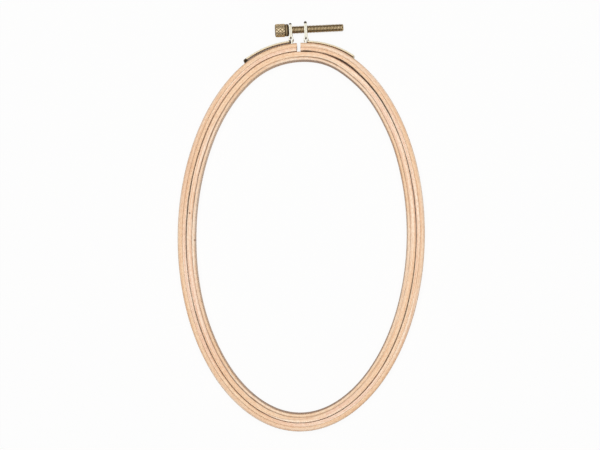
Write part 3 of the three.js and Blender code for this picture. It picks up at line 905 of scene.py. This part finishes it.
# What the tumbled corners have lost at an ear's fold, above and below, with their round side inside
def foldCorners(ear):
    half = 2 * mm
    radius, steps = bracket["cornerRadius"], bracket["cornerSteps"]
    turns = [pi / 2 * k / steps for k in range(steps + 1)]
    points, faces = [], []
    for level, up in ((ringHeight - bracket["inset"], 1), (bracket["inset"], -1)):
        centre = Vector((ear.foldTop - radius, level - up * radius))
        beyond = Vector((ear.foldTop + half, level + up * half))
        arc = [centre + Vector((sin(turn), up * cos(turn))) * radius for turn in turns]
        outline = [Vector((centre.x, beyond.y)), *arc, Vector((beyond.x, centre.y)), beyond][::up]
        first, count = len(points), len(outline)
        for across in (-half, half):
            points += [(*ear.world(Vector((across, place.x))), place.y) for place in outline]
        near = range(first, first + count)
        faces += [(near[k - 1], near[k], near[k] + count, near[k - 1] + count) for k in range(count)]
        faces += [tuple(reversed(near)), tuple(corner + count for corner in near)]
    cutter = meshObject("corners", points, faces)
    if ear.own["side"] > 0:
        cutter.data.flip_normals()
    return cutter


# A profile of distance out, height and how dark it is there: tarnish, and on the knob's collar painted
# shade; closed on the axis
def turnedPiece(name, profile, sides):
    points = [(0, 0, profile[0][1]), (0, 0, profile[-1][1])]
    turns = [(cos(fullTurn * k / sides), sin(fullTurn * k / sides)) for k in range(sides)]
    for out, height, tarnishAndShade in profile:
        points += [(out * x, out * y, height) for x, y in turns]
    top = (len(profile) - 1) * sides
    faces = []
    for k in range(sides):
        here, there = 2 + k, 2 + (k + 1) % sides
        faces += [(0, there, here), (1, top + here, top + there)]
        faces += [(j + here, j + there, j + sides + there, j + sides + here) for j in range(0, top, sides)]
    piece = meshObject(name, points, faces)
    tarnishAndShades = [tarnishAndShade for out, height, tarnishAndShade in profile]
    markPoints(piece, "groove", [tarnishAndShades[0], tarnishAndShades[-1]] + [tarnishAndShade for tarnishAndShade in tarnishAndShades for k in range(sides)])
    return piece


def onScrewAxis(piece, along):  # from +Z at the origin to the screw's axis
    up = Vector((0, 0, 1))
    turned = Matrix((up, screwAxis.cross(up), screwAxis)).transposed()
    piece.data.transform(Matrix.Translation(screwPoint + screwAxis * along) @ turned.to_4x4())
    return piece


def screwHole(ear):
    radius, reach = ear.own["hole"] / 2, 3 * mm
    hole = turnedPiece("hole", [(radius, -reach, 0), (radius, reach, 0)], bracket["holeSides"])
    return onScrewAxis(hole, ear.alongScrew)


def clinchRecess(ear):  # in the wood, with a little play round the clinched end
    start, slope, clinch = clinchLinePoints(ear)
    play = bracket["recessPlay"]
    tail = (clinch[-1] - clinch[-2]).normalized() * play
    head = (start - clinch[0]).normalized() * (bendRadius + play)
    line = [start + head, start, *clinch, clinch[-1] + tail]
    deep = stripHalf + play
    inward = -stripHalf - bracket["clinchInset"] - bracket["recessPast"]
    sides = (inward, deep) if ear.own["side"] > 0 else (-deep, -inward)
    return applyModifiers(stripAlong("recess", ear, line, *sides, bracket["inset"] - play, None))


def brackets():
    for name, own in ears.items():
        ear = EarFrame(own)
        line = bracketLine(ear)
        look = {**drawnBrass, **own, "seed": 5.0 + own["side"], "footTravel": ear.footTravel / mm}
        drawn = brassMaterial("drawn brass, " + name, look)
        strip = stripAlong(name + "Bracket", ear, line, -stripHalf, stripHalf, bracket["inset"], drawn)
        applyModifiers(strip)
        cutAway(strip, screwHole(ear))
        cutAway(strip, foldCorners(ear))
        finishMesh(strip)
        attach(strip, name + "_half")
        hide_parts(name + "_bracket")
        cutAway(outerPlies[0], clinchRecess(ear))


brackets()
finishMesh(outerPlies[0])
rideOuterRing(outerPlies[0], ["outer_ring_left_inner_ply", "outer_ring_right_inner_ply"])
rideOuterRing(outerPlies[1], ["outer_ring_left_outer_ply", "outer_ring_right_outer_ply"])
rideOuterRing(outerPlies[2], [])
print("hoop: the brackets are folded and clinched")


# Screw and knob, made along +Z and then laid along the screw's axis

def reachAlongScrew(node):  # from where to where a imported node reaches, and how far out
    points = [vertex.co - screwPoint for vertex in frame["nodes"][node].data.vertices]
    along = [point.dot(screwAxis) for point in points]
    return min(along), max(along), max(point.cross(screwAxis).length for point in points)


knobStart, knobEnd, knobRadius = reachAlongScrew("screw_knob")
_, shankEnd, shankRadius = reachAlongScrew("clamp_screw")
screw = {
    "pitch": 0.794 * mm,
    "threadDepth": 0.42 * mm,
    "tipRadius": 1.4 * mm,
    "sides": 48,
    "rowsPerTurn": 10,
    "insideKnob": 0.4 * mm,
    "brass": {**wornBrass, "grooveTarnishAndShade": 0.6, "seed": 11.0, "roughness": 0.2},
}
knob = {
    "collarLength": 1.9 * mm,
    "collarRadius": 3.4 * mm,
    "shoulder": 1.0 * mm,
    "shoulderSteps": 8,
    "shoulderDirt": 0.6,  # painted shade on the rounded shoulder: where it starts, and how much is added at each step
    "stepDirt": 1 / 6,
    "neck": 0.15 * mm,  # the turned groove between the knurl and the collar
    "insideDrum": 0.3 * mm,
    "chamfer": 0.5 * mm,
    "grooveDepth": 0.3 * mm,
    "diamonds": 11,
    "columns": 260,
    "rows": 70,
    "sides": 72,
    "brass": {**wornBrass, "bright": "fffaf0", "dull": "f3e6c8", "grooveTarnishAndShade": 0.9, "seed": 13.0,
              "lacquerTint": "efe0c4", "tarnish": 0.3},
    "collarBrass": {**wornBrass, "grooveTarnishAndShade": 0.95, "seed": 17.0, "roughness": 0.4},
}


def screwAndKnob():
    start = knobEnd - screw["insideKnob"]
    values = {**screw, "length": shankEnd - start, "crestRadius": shankRadius,
              "rootRadius": shankRadius - screw["threadDepth"],
              "material": brassMaterial("threaded brass", screw["brass"])}
    thread = addShape(meshObject("screwThread", []), screwThread, values)

    knurlEnd = knobEnd - knob["collarLength"]
    values = {**knob, "length": knurlEnd - knobStart, "radius": knobRadius,
              "material": brassMaterial("knurled brass", knob["brass"])}
    drum = addShape(meshObject("knobDrum", []), knurledDrum, values)

    radius, round, neck = knob["collarRadius"], knob["shoulder"], knob["neck"]
    tarnishAndShade, steps = knob["shoulderDirt"], knob["shoulderSteps"]
    # The neck's groove holds tarnish; the collar's face and rounded shoulder are painted dark with shade,
    # most at its end
    profile = [(radius - 2 * neck, -knob["insideDrum"], 1), (radius - neck, neck, 1)]
    profile.append((radius, 2 * neck, tarnishAndShade))
    for k in range(steps + 1):
        angle = pi / 2 * k / steps
        out = radius - round + round * cos(angle)
        height = knob["collarLength"] - round + round * sin(angle)
        profile.append((out, height, min(1, tarnishAndShade + k * knob["stepDirt"])))
    collar = turnedPiece("knobCollar", profile, knob["sides"])
    collar.data.materials.append(brassMaterial("turned brass", knob["collarBrass"]))

    for piece, along in ((thread, start), (drum, knobStart), (collar, knurlEnd)):
        finishMesh(piece, 50)
        onScrewAxis(piece, along)
        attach(piece, "screw")
    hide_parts("clamp_screw")
    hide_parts("screw_knob")
    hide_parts("screw_knob")


screwAndKnob()
print("hoop: the screw is threaded and its knob knurled")


# Table, soft light from above and the camera

studio = {
    "tableSize": 4.0,
    "tableDrop": 0.05 * mm,
    "tableColour": "dedddb",
    "background": "ffffff",
    "backgroundShare": 0.92,  # of what shows of the table; the rest is lit, and keeps the shadow
    "cardHeights": {"farCard": 0.6, "leftCard": 0.3, "nearCard": 0.9, "rightCard": 0.3},  # going round
    "cardColour": "14110e",
    "cardDistance": 0.6,
    "cardWidth": 1.2,
    "lightSize": 0.8,
    "lightHeight": 1.25,
    "lightShift": 0.1,  # towards the clamp
    "lightPower": 15.2,
    "fill": 0.25,
}


def shownRays(tree):  # the rays that see the background: the camera's, and those off metal
    path = placeNode(tree, "ShaderNodeLightPath").outputs
    return Output(path["Is Camera Ray"]).atLeast(Output(path["Is Glossy Ray"]))


def makeTable():
    half, drop = studio["tableSize"] / 2, studio["tableDrop"]
    corners = [(x * half, y * half, -drop) for x, y in ((-1, -1), (1, -1), (1, 1), (-1, 1))]
    table = meshObject("table", corners, [(0, 1, 2, 3)])
    material, tree = newMaterial("white table")
    lit = addNode(tree, "ShaderNodeBsdfDiffuse", {"Color": studio["tableColour"]})
    plain = addNode(tree, "ShaderNodeEmission", {"Color": studio["background"], "Strength": 1.0})
    share = shownRays(tree) * studio["backgroundShare"]
    endMaterial(tree, "ShaderNodeMixShader", {0: share, 1: lit, 2: plain})
    table.data.materials.append(material)


# Dark cards stand round the set, out of the picture, for the metal to mirror at its edges
def makeCards():
    material, tree = newMaterial("card")
    endMaterial(tree, "ShaderNodeBsdfDiffuse", {"Color": studio["cardColour"]})
    away, half = studio["cardDistance"], studio["cardWidth"] / 2
    for quarter, (name, height) in enumerate(studio["cardHeights"].items()):
        corners = [(-half, away, 0), (half, away, 0), (half, away, height), (-half, away, height)]
        card = meshObject(name, corners, [(0, 1, 2, 3)])
        card.data.transform(Matrix.Rotation(radians(90 * quarter), 4, "Z"))
        card.data.materials.append(material)
        card.visible_camera = False
        card.visible_diffuse = False
        card.visible_shadow = False


def makeLights():
    world = bpy.data.worlds.new("studio")
    bpy.context.scene.world = world
    tree = emptyTree(world)
    fill = addNode(tree, "ShaderNodeBackground", {"Color": "ffffff", "Strength": studio["fill"]})
    plain = addNode(tree, "ShaderNodeBackground", {"Color": studio["background"], "Strength": 1.0})
    both = addNode(tree, "ShaderNodeMixShader", {0: shownRays(tree), 1: fill, 2: plain})
    placeNode(tree, "ShaderNodeOutputWorld", {"Surface": both})

    lamp = bpy.data.lights.new("softbox", "AREA")
    lamp.shape = "SQUARE"
    lamp.size = studio["lightSize"]
    lamp.energy = studio["lightPower"]
    softbox = newObject("softbox", lamp)
    softbox.location = (0, studio["lightShift"], studio["lightHeight"])
    softbox.visible_camera = False
    softbox.visible_glossy = False  # metal mirrors the white room instead of the lamp


view = {
    "centre": (-0.73 * mm, 0.76 * mm, 9.5 * mm),  # what the middle of the picture shows
    "aside": (20 * mm, -15 * mm),  # how far off straight above it the camera stands
    "distance": 776.8 * mm,
    "turn": 0.694,
    "lens": 85,
    "sensor": 36,
}


def makeCamera():
    lens = bpy.data.cameras.new("from above")
    lens.lens = view["lens"]
    lens.sensor_width = view["sensor"]
    lens.clip_start = 0.01
    camera = newObject("from above", lens)
    aside = Vector((*view["aside"], view["distance"]))
    camera.matrix_world = Matrix.Translation(Vector(view["centre"]) + aside)
    camera.matrix_world @= Matrix.Rotation(radians(view["turn"]), 4, "Z")
    across = view["distance"] * view["sensor"] / view["lens"]
    back = camera.matrix_world.to_3x3().inverted() @ aside / across
    lens.shift_x, lens.shift_y = -back.x, -back.y
    bpy.context.scene.camera = camera


makeTable()
makeCards()
makeLights()
makeCamera()
bpy.context.scene.view_settings.view_transform = "Standard"
print("hoop: table, light and camera are set")
